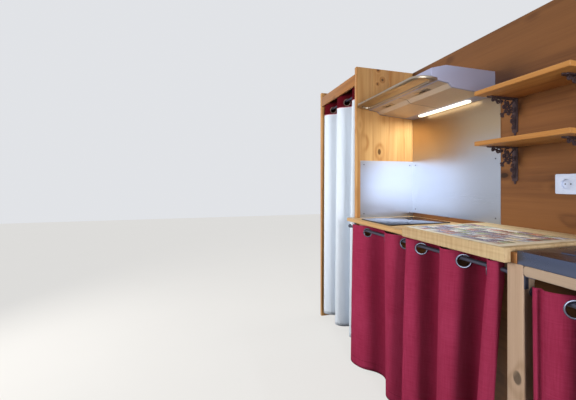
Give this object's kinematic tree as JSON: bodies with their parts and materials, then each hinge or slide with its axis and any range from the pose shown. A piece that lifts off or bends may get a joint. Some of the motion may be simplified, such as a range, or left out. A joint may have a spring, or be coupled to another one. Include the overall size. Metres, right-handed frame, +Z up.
{
  "type": "kitchen bay of a shepherds hut",
  "caption": "Hut kitchen bay: lined side wall with curtained wardrobe, worktops over crimson curtains, hob, tiled board, sink, steel splash sheets, hood and bracketed shelves",
  "frame": {"origin": "on the floor, in the middle of the bounding box", "axes": "+X along the wall from the wardrobe to the sink, +Y into the wall, +Z up"},
  "size_m": [2.469, 0.557, 1.86],
  "materials": {
    "plywood": "clear varnished horizontal grain",
    "stud_timber": "planed softwood",
    "pine_boards": "varnished knotty boards",
    "worktop_wood": "oiled, rough-sawn front",
    "post_wood": "planed pale softwood",
    "shelf_wood": "satin varnish",
    "sheet_steel": "fine brushed",
    "sink_steel": "polished, slightly worn",
    "hood_steel": "satin",
    "filter_mesh": "matt",
    "hob_glass": "black glass",
    "tiles": "small mixed glazed tiles",
    "rod_metal": "charcoal satin",
    "ring_metal": "polished",
    "scroll_iron": "black-brown",
    "crimson_cloth": "plain woven cotton",
    "pale_cloth": "fine herringbone with a dark red band",
    "tap_metal": "polished",
    "lamp_cover": "opal",
    "white_plastic": "smooth"
  },
  "bodies": {
    "root": {"wall_lining_left": "plywood", "wall_lining_right": "plywood", "wall_top_plate": "stud_timber", "wall_bottom_plate": "stud_timber", "wall_studs": "stud_timber", "wardrobe_left_panel": "pine_boards", "wardrobe_side_panel": "pine_boards", "wardrobe_top_board": "pine_boards", "wardrobe_fascia": "pine_boards", "wardrobe_rod": "rod_metal", "wardrobe_curtain": "pale_cloth", "wardrobe_eyelets": "ring_metal", "back_rail": "post_wood", "front_rail": "post_wood", "left_bearer": "post_wood", "middle_bearer": "post_wood", "right_bearer": "post_wood", "middle_post": "post_wood", "right_post": "post_wood", "sink_rail": "post_wood", "sink_rail_bracket": "rod_metal", "hob_worktop": "worktop_wood", "hob_glass": "hob_glass", "tiled_board": "worktop_wood", "tile_field": "tiles", "divider": "worktop_wood", "sink_top": "sink_steel", "sink_bowl": "sink_steel", "sink_waste": "sink_steel", "tap": "tap_metal", "kitchen_rod": "rod_metal", "curtain_left": "crimson_cloth", "curtain_right": "crimson_cloth", "kitchen_eyelets": "ring_metal", "sink_rod": "rod_metal", "sink_curtain": "crimson_cloth", "sink_eyelets": "ring_metal", "splash_back": "sheet_steel", "splash_side": "sheet_steel", "hood_body": "hood_steel", "hood_visor": "hood_steel", "hood_filters": "filter_mesh", "hood_lamp": "lamp_cover", "shelf_upper": "shelf_wood", "shelf_lower": "shelf_wood", "brackets_upper": "scroll_iron", "brackets_lower": "scroll_iron", "wall_socket": "white_plastic"}
  },
  "joints": []
}
